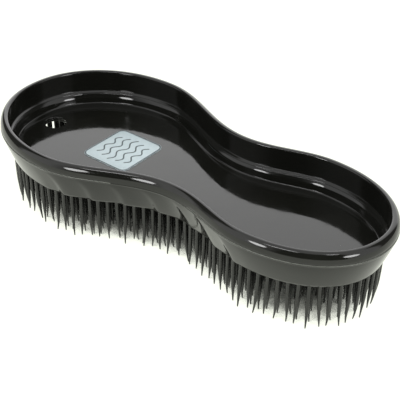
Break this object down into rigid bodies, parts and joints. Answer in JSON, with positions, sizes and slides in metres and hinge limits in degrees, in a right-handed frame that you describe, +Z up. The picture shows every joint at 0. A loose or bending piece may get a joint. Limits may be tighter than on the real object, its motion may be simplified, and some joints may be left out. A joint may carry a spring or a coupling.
{
  "type": "curry comb",
  "caption": "Waisted hand-held grooming brush with a hollow top, finger ridges on its sides and a dense field of tapered plastic bristles below.",
  "frame": {"origin": "on the surface the bristle tips stand on, under the middle of the length and of the width", "axes": "+X along the length towards the small lobe, +Z up from the bristle tips to the rim, +Y across"},
  "size_m": [0.1716, 0.0782, 0.0343],
  "materials": {
    "shell_plastic": "polished black",
    "bristle_plastic": "satin black",
    "label_film": "satin printed film"
  },
  "bodies": {
    "root": {"tray_insert": "shell_plastic", "grip_skirt": "shell_plastic", "bristle_plate": "shell_plastic", "label": "label_film", "bristle_ring_01": "bristle_plastic", "bristle_ring_02": "bristle_plastic", "bristle_ring_03": "bristle_plastic", "bristle_ring_04": "bristle_plastic", "bristle_ring_05": "bristle_plastic", "bristle_ring_06": "bristle_plastic", "bristle_ring_07": "bristle_plastic", "bristle_ring_08": "bristle_plastic", "bristle_ring_09": "bristle_plastic", "bristle_ring_10": "bristle_plastic", "bristle_ring_11": "bristle_plastic"}
  },
  "joints": []
}
